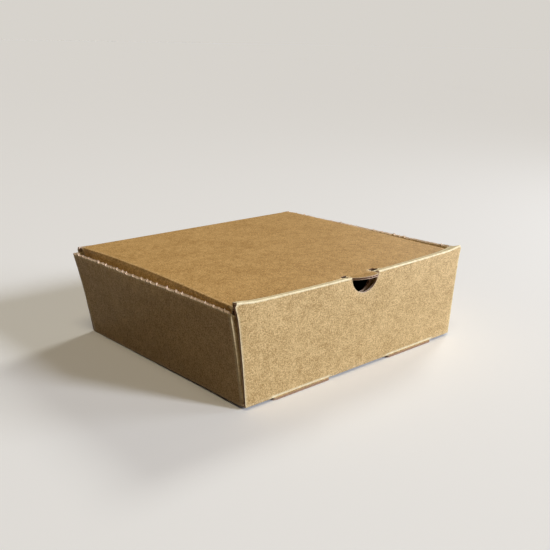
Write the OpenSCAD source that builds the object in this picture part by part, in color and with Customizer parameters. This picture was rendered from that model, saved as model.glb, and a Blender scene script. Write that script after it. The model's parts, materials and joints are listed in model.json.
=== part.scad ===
// Folded corrugated takeaway box: a tray with a rolled double front wall, and a lid on a rear crease.
// The origin is the middle of the bottom panel on the table, +Z is up and the front faces -Y.

/* [Tray] */
// Width of the bottom panel
base_w = 182; // [150:1:240]
// Depth of the bottom panel
base_d = 161; // [130:1:220]
// Height of the rolled front wall
front_h = 60; // [50:1:80]
// Outward lean of the side walls, in degrees
side_lean = 8; // [5:0.5:11]
// Outward lean of the rear wall, in degrees
rear_lean = 6.5; // [4:0.5:9]
// How far the top corners of the front panel stand inside the faces of the side walls
panel_inset = 1.9; // [1:0.1:3]
// How far the side walls stop below the top face of the lid
side_drop = 2.6; // [2.2:0.1:5]

/* [Board] */
// Thickness of the corrugated board
board = 1.6; // [1.2:0.1:2]
// Radius on the inside of every fold
fold_r = 0.4; // [0.2:0.1:0.7]
// Air between layers of board that lie together
layer_gap = 0.25; // [0.15:0.05:0.5]

/* [Corner flaps] */
// Length of the flaps that the side walls send behind the front and rear walls
flap_len = 50; // [30:1:65]
// Slope of the upper edges of those flaps, in degrees
flap_taper = 5; // [2:1:9]
// Angle that parts their lower edges from the front and rear panels when the sheet lies flat, in degrees
flat_spare = 1; // [0.5:0.5:4]
// Radius on the free corners of those flaps
flap_corner_r = 6; // [2:0.5:10]
// How far those flaps stop below the top edge of the side walls
flap_drop = 2.5; // [2:0.1:5]
// Clearance between the inner front wall and the side walls
inner_gap = 2; // [0.6:0.1:3]

/* [Front lock] */
// Width of each lock tab on the lower edge of the inner front wall
lock_w = 46; // [25:1:60]
// Distance between the middles of the two lock tabs
lock_pitch = 97; // [75:1:110]
// How far a slot is longer than its lock tab
slot_spare = 2.5; // [1:0.5:5]
// How far the ends of the lock tabs stand out of the front face
lock_proud = 0.4; // [0:0.1:2]

/* [Lid] */
// How far the lid lies below the top of the rolled front wall
lid_drop = 1.4; // [1:0.1:3]
// Gap between the side folds of the lid and the side walls, at the lid's own height
lid_side_gap = 3.1; // [2:0.1:5]
// Clearance between the tuck flap and the inner front wall
tuck_gap = 0.4; // [0.3:0.05:1]
// Depth of the tuck flap
tuck_h = 27; // [18:1:34]
// Depth of the side flaps of the lid
side_flap_h = 27; // [15:1:36]
// Slope of the ends of the lid's flaps, in degrees
lid_taper = 12; // [10:1:20]
// Radius on the free corners of the lid's flaps
lid_corner_r = 8; // [3:0.5:12]
// Clearance between the lid's side flaps and what they lie beside
lid_flap_gap = 0.6; // [0.4:0.1:1.5]

/* [Thumb tab] */
// Width of the thumb tab cut out of the tuck flap
tab_w = 22; // [16:1:30]
// Reach of the thumb tab from the front crease of the lid
tab_reach = 12; // [11:0.5:18]
// Clearance between the thumb tab and the finger notch on each side
notch_gap = 1; // [0.5:0.1:2]
// Height of the middle of the finger notch below the top of the front wall
notch_drop = 0.2; // [0:0.1:4]
// Length of the relief cut in the crease on each side of the thumb tab
relief_len = 7; // [2:0.5:8]
// Width of that relief cut
relief_w = 1.4; // [0.6:0.1:1.6]

/* [Rear crease] */
// Height of the neck that is as narrow as the lid, below the axis of the crease
neck_h = 5; // [4:0.5:9]
// Gap between the lid and the rear wall at the crease
hinge_gap = 0.35; // [0.3:0.05:0.6]

/* [Hidden] */

// Steps in a rounded fold or corner, and the overlap that welds two panels of the sheet
fold_steps = 6;
weld = 0.02;
far = base_w + base_d + front_h;

// Radii of a fold at the middle of the board and at its outer face
fold_mid = fold_r + board / 2;
fold_out = fold_r + board;

// Layers of the front wall: outer wall, corner flaps, inner wall, then the tuck flap of the lid
front_y = -base_d / 2;
flap_y = front_y + board + layer_gap;
inner_y = flap_y + board + layer_gap;
tuck_y = inner_y + board + tuck_gap;

// Heights
lid_top = front_h - lid_drop;
hinge_z = lid_top - board / 2;
side_h = lid_top - side_drop;
flap_foot = board + layer_gap;
flap_top = side_h - flap_drop;

// Middle of the board at the creases of the bottom panel, and where the flat bottom ends
side_x = base_w / 2 + board / 2 * (tan(side_lean) - 1 / cos(side_lean));
rear_y = base_d / 2 + board / 2 * (tan(rear_lean) - 1 / cos(rear_lean));
flat_x = side_x - fold_mid * tan((90 - side_lean) / 2);
flat_front = front_y + board / 2 + fold_mid;
flat_rear = rear_y - fold_mid * tan((90 - rear_lean) / 2);

// Axis of the rear crease, and the half width of the lid over its side folds
hinge_y = base_d / 2 + hinge_z * tan(rear_lean) - board / 2 / cos(rear_lean);
lid_x = wall_x(lid_top) - lid_side_gap;

// Lean of the lid's flaps: the tuck flap swings clear, the side flaps follow the side walls
tuck_arm = hinge_y - tuck_y;
tuck_set = tuck_arm - sqrt(tuck_arm * tuck_arm - tuck_h * tuck_h) + tuck_gap;
tuck_turn = 90 + atan(tuck_set / tuck_h);
flat_lid = tuck_y + board / 2 + fold_mid * tan(tuck_turn / 2);
side_flap_set = lid_x - wall_x(hinge_z - side_flap_h) + lid_flap_gap;

// Rear corner flap in the frame of its own crease
rear_tilt = atan(tan(rear_lean) * cos(side_lean));
rear_skew = asin(sin(side_lean) * sin(rear_lean));
rear_flap_y = base_d / 2 - (board + layer_gap) / cos(rear_lean);
rear_stack = (2.5 * board + layer_gap) / cos(rear_lean);
corner_y = board / 2 * (sin(rear_skew) - 1) / cos(rear_skew);
corner_run = fold_mid * tan((90 - rear_skew) / 2);

// Slopes of the lower edges of the corner flaps, set so that the flat sheet doesn't overlap itself
panel_slope = atan(tan(side_lean) - panel_inset / front_h);
front_foot_taper = side_lean + panel_slope + flat_spare;
rear_foot_taper = front_foot_taper + rear_tilt;

notch_r = tab_w / 2 + notch_gap;
notch_z = front_h - notch_drop;
slot_w = lock_w + slot_spare;

// Inner face of a side wall, and free edge of the front and rear panels, at a height
function wall_x(z) = base_w / 2 + z * tan(side_lean) - board / cos(side_lean);
function panel_x(z) = base_w / 2 + z * tan(side_lean) - panel_inset * z / front_h;

function unit(v) = v / norm(v);
function left(v) = [-v[1], v[0]];
function turned(v, a) = [v[0] * cos(a) - v[1] * sin(a), v[0] * sin(a) + v[1] * cos(a)];
function turn_angle(u, v) = atan2(u[0] * v[1] - u[1] * v[0], u * v);
function place(v) = [v[0], v[1]];

// Arc of radius r round the corner b of the path a, b, c, as pairs of place and left-hand normal
function corner_arc(a, b, c, r) =
    let (u = unit(b - a), turn = turn_angle(u, unit(c - b)), side = sign(turn))
    let (hub = b - u * r * tan(abs(turn) / 2) + left(u) * side * r)
    [for (i = [0 : fold_steps])
        let (n = turned(left(u), turn * i / fold_steps)) [hub - n * side * r, n]];

// Middle line of a folded sheet through the given corners
function middle_line(path) =
    let (last = len(path) - 1)
    concat([[path[0], left(unit(path[1] - path[0]))]],
        [for (i = [1 : last - 1]) each corner_arc(path[i - 1], path[i], path[i + 1], fold_mid)],
        [[path[last], left(unit(path[last] - path[last - 1]))]]);

// Closed outline through corners given as [x, y, radius]
function rounded(c) =
    let (n = len(c))
    [for (i = [0 : n - 1])
        let (a = place(c[(i + n - 1) % n]), b = place(c[i]), d = place(c[(i + 1) % n]))
        each c[i][2] > 0 ? [for (p = corner_arc(a, b, d, c[i][2])) p[0]] : [b]];

// Section of the folded sheet along a path of its middle line
module sheet_section(path) {
    line = middle_line(path);
    polygon(concat([for (p = line) p[0] + p[1] * board / 2],
        [for (i = [len(line) - 1 : -1 : 0]) line[i][0] - line[i][1] * board / 2]));
}

// A section drawn in Y and Z that runs from side to side
module across(width) {
    rotate([90, 0, 90]) linear_extrude(width, center = true) children();
}

// A section drawn in X and Z that runs from front to back
module lengthways(y0, y1) {
    translate([0, y1, 0]) rotate([90, 0, 0]) linear_extrude(y1 - y0) children();
}

module both_sides() {
    children();
    mirror([1, 0, 0]) children();
}

// Outer front wall, rolled top and inner front wall, with the fold to the bottom panel
module front_wall() {
    difference() {
        intersection() {
            across(far) sheet_section([
                [inner_y + board / 2, flap_foot], [inner_y + board / 2, front_h - board / 2],
                [front_y + board / 2, front_h - board / 2], [front_y + board / 2, board / 2],
                [flat_front + weld, board / 2]]);
            lengthways(front_y - 1, 0) front_outline();
        }
        both_sides() lengthways(flap_y - layer_gap / 2, 0) polygon([
            [wall_x(0) - inner_gap, 0], [far, 0], [far, far], [wall_x(far) - inner_gap, far]]);
    }
}

module front_outline() {
    corner_r = board;
    polygon(rounded([[-panel_x(0), 0, 0], [panel_x(0), 0, 0],
        [panel_x(front_h), front_h, corner_r], [-panel_x(front_h), front_h, corner_r]]));
}

// Rear wall up to the crease of the lid, with the neck that is as wide as the lid
module rear_wall() {
    stop = board / 2 + hinge_gap;
    neck = hinge_z - neck_h;
    shoulder = neck - (panel_x(neck) - lid_x);
    intersection() {
        across(far) sheet_section([[flat_rear - weld, board / 2], [rear_y, board / 2],
            [hinge_y - stop * sin(rear_lean), hinge_z - stop * cos(rear_lean)]]);
        lengthways(0, far) polygon(concat(
            [[-panel_x(0), 0], [panel_x(0), 0], [panel_x(shoulder), shoulder], [lid_x, neck]],
            [[lid_x, far], [-lid_x, far], [-lid_x, neck], [-panel_x(shoulder), shoulder]]));
    }
}

module bottom_panel() {
    translate([-flat_x - weld, flat_front - weld, 0])
        cube([2 * (flat_x + weld), flat_rear - flat_front + 2 * weld, board]);
}

// Frames with their Z along the creases of the right side wall, and X out of its face
module front_corner() {
    translate([base_w / 2, flap_y, 0]) rotate([0, side_lean, 0]) children();
}

module rear_corner() {
    translate([base_w / 2, rear_flap_y, 0]) rotate([0, side_lean, 0]) rotate([-rear_tilt, 0, 0]) children();
}

// Right side wall with its fold to the bottom panel
module side_wall() {
    start = flap_y + fold_out - weld;
    round_r = flap_drop;
    intersection() {
        lengthways(-far, far) sheet_section([[flat_x - weld, board / 2], [side_x, board / 2],
            [side_x + far * sin(side_lean), board / 2 + far * cos(side_lean)]]);
        across(far) polygon(rounded([[flap_y + layer_gap, 0, 0], [flap_y + layer_gap, flap_foot, 0],
            [start, flap_foot, 0], [start, side_h, round_r], [far, side_h, 0], [far, 0, 0]]));
        rear_corner() translate([-far / 2, corner_y - corner_run + weld - far, -far / 2])
            cube([far, far, 2 * far]);
    }
}

// Flap of the right side wall that goes behind the front wall
module front_flap() {
    fall = flap_len * tan(flap_taper);
    rise = flap_len * tan(front_foot_taper);
    tip = base_w / 2 - flap_len;
    intersection() {
        front_corner() translate([0, 0, -front_h]) linear_extrude(3 * front_h) sheet_section([
            [-2 * flap_len, board / 2], [-board / 2, board / 2], [-board / 2, fold_out + weld]]);
        lengthways(-far, 0) polygon(rounded([[base_w, flap_foot, 0], [base_w, flap_top, 0],
            [panel_x(flap_top) - board, flap_top, 0],
            [tip, flap_top - fall, flap_corner_r], [tip, flap_foot + rise, flap_corner_r],
            [base_w / 2 - board, flap_foot, 0]]));
    }
}

// Flap of the right side wall that goes behind the rear wall
module rear_flap() {
    fall = flap_len * tan(flap_taper);
    rise = flap_len * tan(rear_foot_taper);
    tip = base_w / 2 - flap_len;
    step = wall_x(side_h) - board;
    along = [-cos(rear_skew), sin(rear_skew)];
    corner = [-board / 2, corner_y];
    intersection() {
        rear_corner() translate([0, 0, -front_h]) linear_extrude(3 * front_h) sheet_section([
            corner - [0, corner_run + weld], corner, corner + along * 2 * flap_len]);
        lengthways(0, far) polygon(rounded([[base_w, flap_foot, 0], [base_w, side_h, 0],
            [step, side_h, 0], [step - flap_drop / 2, flap_top, 0],
            [tip, flap_top - fall, flap_corner_r], [tip, flap_foot + rise, flap_corner_r],
            [base_w / 2 - board, flap_foot, 0]]));
    }
}

// Lock tab of the inner front wall, turned forward through its slot
module lock_tab() {
    across(lock_w) sheet_section([[inner_y + board / 2, 2 * fold_out], [inner_y + board / 2, board / 2],
        [front_y - lock_proud, board / 2]]);
}

module lock_slot() {
    reach = inner_y + board + layer_gap - front_y;
    translate([-slot_w / 2, front_y - board, -board])
        cube([slot_w, reach + board, board + fold_out]);
}

// Half-moon finger notch through the rolled front wall
module finger_notch() {
    translate([0, front_y - board, notch_z]) rotate([-90, 0, 0])
        cylinder(r = notch_r, h = tuck_y - front_y + board, $fn = 96);
}

module tray() {
    color([0.76, 0.61, 0.40]) {
        difference() {
            union() {
                front_wall();
                rear_wall();
                bottom_panel();
                both_sides() {
                    side_wall();
                    front_flap();
                    rear_flap();
                }
            }
            finger_notch();
            both_sides() translate([lock_pitch / 2, 0, 0]) lock_slot();
        }
        both_sides() translate([lock_pitch / 2, 0, 0]) lock_tab();
    }
}

// Outline of the thumb tab, drawn with its root at the crease and its tip at -Y
module tab_outline(spare) {
    r = tab_w / 2 + spare;
    translate([0, -(tab_reach - tab_w / 2)]) circle(r = r, $fn = 96);
    translate([-r, -(tab_reach - tab_w / 2)]) square([2 * r, tab_reach]);
}

// Flat lid with its two side folds and side flaps
module lid_panel() {
    flap_foot_z = hinge_z - side_flap_h;
    under_z = hinge_z - board / 2;
    root_z = under_z - fold_r;
    shoulder_z = flap_top + lid_flap_gap;
    front_root = flat_lid + lid_flap_gap;
    front_foot = front_root + (root_z - flap_foot_z) * tan(lid_taper);
    rear_root = hinge_y - board / 2 - lid_flap_gap;
    rear_shoulder = hinge_y - rear_stack - (hinge_z - shoulder_z) * tan(rear_lean) - lid_flap_gap;
    rear_foot = rear_shoulder - (shoulder_z - flap_foot_z) * tan(lid_taper);
    bend_x = lid_x - board / 2;
    foot_x = bend_x - side_flap_set;
    intersection() {
        lengthways(-far, far) sheet_section([[-foot_x, flap_foot_z], [-bend_x, hinge_z],
            [bend_x, hinge_z], [foot_x, flap_foot_z]]);
        across(far) polygon(rounded([[flat_lid, far, 0], [flat_lid, root_z, 0],
            [front_root, root_z, 0], [front_foot, flap_foot_z, lid_corner_r],
            [rear_foot, flap_foot_z, lid_corner_r], [rear_shoulder, shoulder_z, 0],
            [rear_root, root_z, 0], [rear_root, under_z, 0], [hinge_y, under_z, 0], [hinge_y, far, 0]]));
    }
}

// Front crease and tuck flap, less the thumb tab and its relief cuts
module tuck_flap() {
    foot_z = hinge_z - tuck_h;
    half = lid_x - board - fold_out;
    foot_half = half - tuck_h * tan(lid_taper);
    bend_y = tuck_y + board / 2;
    difference() {
        intersection() {
            across(far) sheet_section([[flat_lid + weld, hinge_z], [bend_y, hinge_z],
                [bend_y + tuck_set, foot_z]]);
            lengthways(-far, 0) polygon(rounded([[-half, far, 0], [-half, hinge_z, 0],
                [-foot_half, foot_z - board, lid_corner_r], [foot_half, foot_z - board, lid_corner_r],
                [half, hinge_z, 0], [half, far, 0]]));
        }
        translate([0, tuck_y + 2 * fold_out, hinge_z]) rotate([90, 0, 0])
            linear_extrude(3 * fold_out + tuck_set) tab_outline(weld);
        translate([-tab_w / 2, tuck_y - board, hinge_z - board / 2])
            cube([tab_w, board + flat_lid - tuck_y, 2 * board]);
        both_sides() translate([tab_w / 2 - weld, tuck_y + (fold_out - relief_w) / 2, hinge_z - fold_out])
            cube([relief_len, relief_w, 2 * fold_out]);
    }
}

module thumb_tab() {
    translate([0, tuck_y, hinge_z - board / 2]) linear_extrude(board) intersection() {
        tab_outline(0);
        translate([-tab_w, -2 * tab_reach]) square([2 * tab_w, 2 * tab_reach]);
    }
    translate([-tab_w / 2, tuck_y - weld, hinge_z - board / 2]) cube([tab_w, flat_lid - tuck_y + 2 * weld, board]);
}

// Rounded rear edge that turns over the rear wall
module rear_crease() {
    translate([-lid_x, hinge_y, hinge_z]) rotate([0, 90, 0]) cylinder(d = board, h = 2 * lid_x, $fn = 32);
}

module lid() {
    color([0.72, 0.57, 0.37]) {
        lid_panel();
        tuck_flap();
        thumb_tab();
        rear_crease();
    }
}

tray();
lid();
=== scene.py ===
import json
import math
from collections import namedtuple

import bpy
import numpy as np
from mathutils import Matrix, Vector, geometry, kdtree


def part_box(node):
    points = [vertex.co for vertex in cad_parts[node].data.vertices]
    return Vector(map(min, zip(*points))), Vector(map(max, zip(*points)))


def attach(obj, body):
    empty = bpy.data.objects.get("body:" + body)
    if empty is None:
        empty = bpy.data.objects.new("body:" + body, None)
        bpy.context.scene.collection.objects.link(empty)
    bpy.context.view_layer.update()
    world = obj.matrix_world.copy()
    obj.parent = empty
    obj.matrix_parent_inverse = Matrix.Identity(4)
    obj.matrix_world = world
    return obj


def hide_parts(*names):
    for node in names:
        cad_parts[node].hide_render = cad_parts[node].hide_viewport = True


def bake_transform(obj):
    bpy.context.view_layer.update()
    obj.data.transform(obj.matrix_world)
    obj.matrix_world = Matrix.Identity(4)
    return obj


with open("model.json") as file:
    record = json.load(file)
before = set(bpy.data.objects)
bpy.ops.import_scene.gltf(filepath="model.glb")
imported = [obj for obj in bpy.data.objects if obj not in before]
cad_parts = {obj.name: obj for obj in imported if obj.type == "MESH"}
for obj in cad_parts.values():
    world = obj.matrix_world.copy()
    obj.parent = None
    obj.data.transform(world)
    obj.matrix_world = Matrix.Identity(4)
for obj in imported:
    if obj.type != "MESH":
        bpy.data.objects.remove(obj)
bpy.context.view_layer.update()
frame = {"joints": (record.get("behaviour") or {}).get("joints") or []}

# The sheet is laid out flat in millimetres, and MM turns them into metres.
MM = 0.001
QUARTER = math.pi / 2

# Tray, as the part has it
BASE_W = 182.0
BASE_D = 161.0
FRONT_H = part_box("tray")[1].z / MM
SIDE_LEAN = math.radians(8)
REAR_LEAN = math.radians(6.5)
PANEL_INSET = 1.9
BOARD = 1.6
LAYER_GAP = 0.25
FOLD_MID = 0.3
HINGE_MID = 1.2
FLAP_LEN = 50.0
FLAP_TAPER = math.radians(5)
FLAP_FOOT_SPARE = math.radians(1)
FLAP_CORNER_R = 6.0
FLAP_DROP = 2.5
INNER_GAP = 2.0
LOCK_W = 46.0
LOCK_PITCH = 97.0
SLOT_SPARE = 2.5
LOCK_PROUD = 0.4
LOCK_TAB = ((LOCK_PITCH - LOCK_W) / 2, (LOCK_PITCH + LOCK_W) / 2)
NOTCH_R = 12.0
NOTCH_X = -0.6
NOTCH_Z = FRONT_H + 0.75

# Lid, from its packed box and the axis that it turns on
HINGE_Y = frame["joints"][0]["pos_m"][1] / MM
HINGE_Z = frame["joints"][0]["pos_m"][2] / MM
LID_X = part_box("lid")[1].x / MM
LID_FOOT_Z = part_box("lid")[0].z / MM
NECK_FOOT = HINGE_Z - 5.0
TUCK_GAP = 0.4
SIDE_FLAP_SET = 1.39
LID_FOLD_MID = 0.45
LID_TAPER = math.radians(12)
LID_CORNER_R = 8.0
LID_FLAP_GAP = 0.6
TAB_R = 11.0
TAB_REACH = 11.2
RELIEF_LEN = 7.0
RELIEF_W = 1.4
RELIEF_BACK = 2.6
SEAM = 1.6

# Heights of the photographed side walls, at the front, the middle and the rear
LEFT_WALL_H = (55.7, 54.7, 55.2)
RIGHT_WALL_H = (58.2, 57.8, 57.0)

# Corrugated board seen at its cut edges
FLUTE_PITCH = 3.2
LINER = 0.25
MEDIUM = 0.16
Edge = namedtuple("Edge", "squeeze groove rough rub tone step")
# The tone column sets an edge's colour: 1 pale torn fibres, 0.8 and 0.75 painted light that lightens slit and punched
# edges, 0.35 plain, 0.22 darker tab ends, 0 painted shade on shaded edges
EDGES = {
    "cut": Edge(0.88, 0.8, 0.05, 1.0, 0.35, 1.2),
    "punched": Edge(0.85, 0.35, 0.05, 0.35, 0.75, 1.0),
    "torn": Edge(0.75, 0.3, 0.16, 1.0, 1.0, 0.6),
    "shaded": Edge(0.8, 0.2, 0.02, 0.0, 0.0, 1.0),
    "tab": Edge(0.95, 0.3, 0.03, 0.0, 0.22, 1.2),
    "slit": Edge(0.9, 0.02, 0.0, 0.6, 0.8, 1.0),
    "seam": Edge(1.0, 0.02, 0.0, 0.0, 0.35, 4.0),
}
TORN_BEVEL = 0.75
TUFT_HEIGHT = (0.4, 1.5)
TUFT_PITCH = (3.0, 10.0)
LINER_PALER = 0.3
RUB_SPARE = 0.15
FLUTE_STEP = 0.4
SQUEEZE_REACH = 1.8
RINGS = ((0.6, 1), (SQUEEZE_REACH, 2))
FOLD_STEPS = 8
FOLD_MARGIN = 1.2
MARGIN_INSET = 4.5
PINCH_INNER = 0.3
PINCH_REACH = 1.2
CORNER_CRISP = 1.25
ROW_STEP = 4.0
GRID_STEP = 8.0
GRID_CLEARANCE = 3.0

# Creases of the sheet
FRONT_Y = -BASE_D / 2
WALL_FOOT = BOARD / 2 + FOLD_MID
INNER_Y = FRONT_Y + 2 * (BOARD + LAYER_GAP)
FLAT_FRONT = FRONT_Y + WALL_FOOT
SIDE_TURN = QUARTER - SIDE_LEAN
REAR_TURN = QUARTER - REAR_LEAN


def ramp(values, low, high):
    t = np.clip((values - low) / (high - low), 0, 1)
    return t * t * (3 - 2 * t)


def unit(rows):
    return rows / np.maximum(np.linalg.norm(rows, axis=1, keepdims=True), 1e-9)


def arc(turn, radius=FOLD_MID):
    return radius * abs(turn)


def tangent(turn, radius=FOLD_MID):
    return radius * math.tan(abs(turn) / 2)


def lean_shift(lean):
    return BOARD / 2 * (math.tan(lean) - 1 / math.cos(lean))


def foot_height(turn):
    return BOARD / 2 + FOLD_MID * (1 - math.cos(turn))


FLAT_X = BASE_W / 2 + lean_shift(SIDE_LEAN) - tangent(SIDE_TURN)
FLAT_REAR = BASE_D / 2 + lean_shift(REAR_LEAN) - tangent(REAR_TURN)
WALL_X = FLAT_X + arc(SIDE_TURN)
REAR_WALL_Y = FLAT_REAR + arc(REAR_TURN)

ROLL_Y = FLAT_FRONT - arc(QUARTER) - (FRONT_H - 2 * WALL_FOOT)
ROLL_BACK_Y = ROLL_Y - arc(QUARTER) - (INNER_Y - FRONT_Y - 2 * FOLD_MID)
TAB_FOLD_Y = ROLL_BACK_Y - arc(QUARTER) - (FRONT_H - 2 * WALL_FOOT)
FLAP_FOOT = BOARD + LAYER_GAP
FLAP_START = FRONT_Y + BOARD + LAYER_GAP + WALL_FOOT

REAR_TILT = math.atan(math.tan(REAR_LEAN) * math.cos(SIDE_LEAN))
REAR_SKEW = math.asin(math.sin(SIDE_LEAN) * math.sin(REAR_LEAN))
PANEL_SLOPE = math.atan(math.tan(SIDE_LEAN) - PANEL_INSET / FRONT_H)
FRONT_FOOT_TAPER = SIDE_LEAN + PANEL_SLOPE + FLAP_FOOT_SPARE
REAR_FOOT_TAPER = FRONT_FOOT_TAPER + REAR_TILT
REAR_FLAP_Y = BASE_D / 2 - (BOARD + LAYER_GAP) / math.cos(REAR_LEAN)
REAR_CORNER_Y = BOARD / 2 * (math.sin(REAR_SKEW) - 1) / math.cos(REAR_SKEW)

LID_CREASE_TURN = QUARTER + REAR_LEAN
HINGE_RUN = tangent(LID_CREASE_TURN, HINGE_MID)
TUCK_Y = INNER_Y + BOARD + TUCK_GAP
TUCK_H = HINGE_Z - LID_FOOT_Z
TUCK_ARM = HINGE_Y - TUCK_Y
TUCK_SET = TUCK_ARM - math.sqrt(TUCK_ARM ** 2 - TUCK_H ** 2) + TUCK_GAP
TUCK_TURN = QUARTER + math.atan(TUCK_SET / TUCK_H)
FLAT_LID = TUCK_Y + BOARD / 2 + tangent(TUCK_TURN)
LID_SIDE_TURN = QUARTER + math.atan(SIDE_FLAP_SET / TUCK_H)
FLAT_LID_X = LID_X - BOARD / 2 - tangent(LID_SIDE_TURN, LID_FOLD_MID)


def wall_x(z):
    """Inner face of a side wall at a height of the folded box."""
    return BASE_W / 2 + z * math.tan(SIDE_LEAN) - BOARD / math.cos(SIDE_LEAN)


def panel_x(z):
    """Free edge of the front and rear walls at a height of the folded box."""
    return BASE_W / 2 + z * math.tan(SIDE_LEAN) - PANEL_INSET * z / FRONT_H


def front_wall_y(z):
    return FLAT_FRONT - arc(QUARTER) - (z - WALL_FOOT)


def inner_wall_y(z):
    return ROLL_BACK_Y - arc(QUARTER) - (FRONT_H - WALL_FOOT - z)


def side_wall_x(z):
    return WALL_X + (z - foot_height(SIDE_TURN)) / math.cos(SIDE_LEAN)


def rear_wall_y(z):
    return REAR_WALL_Y + (z - foot_height(REAR_TURN)) / math.cos(REAR_LEAN)


class Crease:
    """A fold line of the sheet: where it starts, the way into the leaf, its turn, and how far it runs."""

    def __init__(self, at, away, turn, run, radius=FOLD_MID):
        self.at = np.array(at, float)
        self.away = np.array(away, float)
        self.turn = turn
        self.run = run
        self.radius = radius
        self.length = arc(turn, radius)

    def past(self, points):
        return (points[:, :2] - self.at) @ self.away

    def beside(self, points):
        """Which points lie within the crease's run."""
        along = (points[:, :2] - self.at) @ np.array([-self.away[1], self.away[0]])
        return (along > min(self.run)) & (along < max(self.run))

    def bend(self, points, rigid):
        """Rows of (x, y, height) with what lies past the crease turned up round it."""
        side = math.copysign(1, self.turn)
        angle = abs(self.turn)
        s = self.past(points)
        height = points[:, 2] * side
        phi = np.full(len(s), angle) if rigid else np.clip(s / self.radius, 0, angle)
        rest = s - self.radius * phi
        along = (self.radius - height) * np.sin(phi) + rest * np.cos(phi)
        made = points.copy()
        made[:, :2] += np.outer(along - s, self.away)
        made[:, 2] = side * (self.radius - (self.radius - height) * np.cos(phi) + rest * np.sin(phi))
        return made

    def rows(self):
        """Lines along the crease, from just before it to just past it."""
        across = np.array([-self.away[1], self.away[0]])
        inset = math.copysign(MARGIN_INSET, self.run[1] - self.run[0])
        steps = [(s, inset) for s in (-FOLD_MARGIN, self.length + FOLD_MARGIN)]
        steps += [(s, 0.0) for s in np.linspace(0.01, self.length - 0.01, FOLD_STEPS + 1)]
        for s, trim in steps:
            start = self.at + self.away * s
            yield start + across * (self.run[0] + trim), start + across * (self.run[1] - trim)


def mirrored(points):
    """The points as on the right half, and the sign that takes each one back."""
    flip = np.where(points[:, 0] < 0, -1.0, 1.0)
    return points * np.stack([flip, np.ones_like(flip), np.ones_like(flip)], 1), flip


def fold_chain(points, creases):
    """Folds points through creases given from the root out."""
    made = points.copy()
    passed = sum((c.past(points) > 0).astype(int) for c in creases)
    for count in range(1, len(creases) + 1):
        here = passed == count
        part = points[here]
        for k in reversed(range(count)):
            part = creases[k].bend(part, rigid=k < count - 1)
        made[here] = part
    return made


WIDE = 99.0
SPLIT_X = BASE_W / 2 + 0.3
SPLIT_SLOPE = math.tan(math.radians(6.4))
TUCK_REACH = 75.0

front_creases = [Crease((0, FLAT_FRONT), (0, -1), QUARTER, (-SPLIT_X, SPLIT_X))]
front_creases += [Crease((0, y), (0, -1), QUARTER, (-WIDE, WIDE)) for y in (ROLL_Y, ROLL_BACK_Y, TAB_FOLD_Y)]
SEAM_Y = rear_wall_y(HINGE_Z) - SEAM
rear_creases = [
    Crease((0, FLAT_REAR), (0, 1), REAR_TURN, (-SPLIT_X, SPLIT_X)),
    Crease((0, rear_wall_y(HINGE_Z) - HINGE_RUN), (0, 1), LID_CREASE_TURN, (-WIDE, WIDE), HINGE_MID),
]
side_crease = Crease((FLAT_X, 0), (1, 0), SIDE_TURN, (FLAT_FRONT + 0.3, FLAT_REAR - 0.3))


class FlapCrease(Crease):
    """The crease between a side wall and a corner flap, with the flap's own layout."""

    def __init__(self, corner_y, origin_y, tilt, skew, end):
        self.corner_y = corner_y
        self.origin_y = origin_y
        self.tilt = tilt
        self.skew = skew
        self.end = end
        turn = QUARTER - skew
        away = (-end * math.sin(tilt), end * math.cos(tilt))
        foot = self.on_corner(0)
        start = foot - tangent(turn) * np.array(away)
        run = (-2.0, -60.0) if end > 0 else (2.0, 60.0)
        super().__init__(start, away, turn, run)

    def on_corner(self, t):
        """Point of the sheet on the flap's corner line, t along it."""
        slope = t * math.cos(self.tilt) - self.corner_y * math.sin(self.tilt)
        y = self.origin_y + self.end * (self.corner_y * math.cos(self.tilt) + t * math.sin(self.tilt))
        return np.array([self.sheet_x(slope), y])

    @staticmethod
    def sheet_x(slope):
        """Sheet x of a side wall's point this far up its slope from the table's corner."""
        start = (FLAT_X + FOLD_MID * math.sin(SIDE_TURN) - BASE_W / 2) * math.sin(SIDE_LEAN)
        start += foot_height(SIDE_TURN) * math.cos(SIDE_LEAN)
        return WALL_X + slope - start

    def at_place(self, x, z):
        """Sheet point of the flap that stands at x and z on the folded box."""
        local_x = (x - BASE_W / 2) * math.cos(SIDE_LEAN) - z * math.sin(SIDE_LEAN)
        slope = (x - BASE_W / 2) * math.sin(SIDE_LEAN) + z * math.cos(SIDE_LEAN)
        q = -(local_x + BOARD / 2) / math.cos(self.skew)
        local_y = self.corner_y + math.sin(self.skew) * q
        t = (slope + local_y * math.sin(self.tilt)) / math.cos(self.tilt)
        run_out = arc(self.turn) - 2 * tangent(self.turn)
        return self.on_corner(t) + (q + run_out) * self.away


front_flap = FlapCrease(-BOARD / 2, FRONT_Y + BOARD + LAYER_GAP, 0.0, 0.0, -1)
rear_flap = FlapCrease(REAR_CORNER_Y, REAR_FLAP_Y, REAR_TILT, REAR_SKEW, 1)
FLAP_SLIT_X = BASE_W / 2 + 0.2
SIDE_MIDDLE_Y = 0.15 * BASE_D


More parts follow.
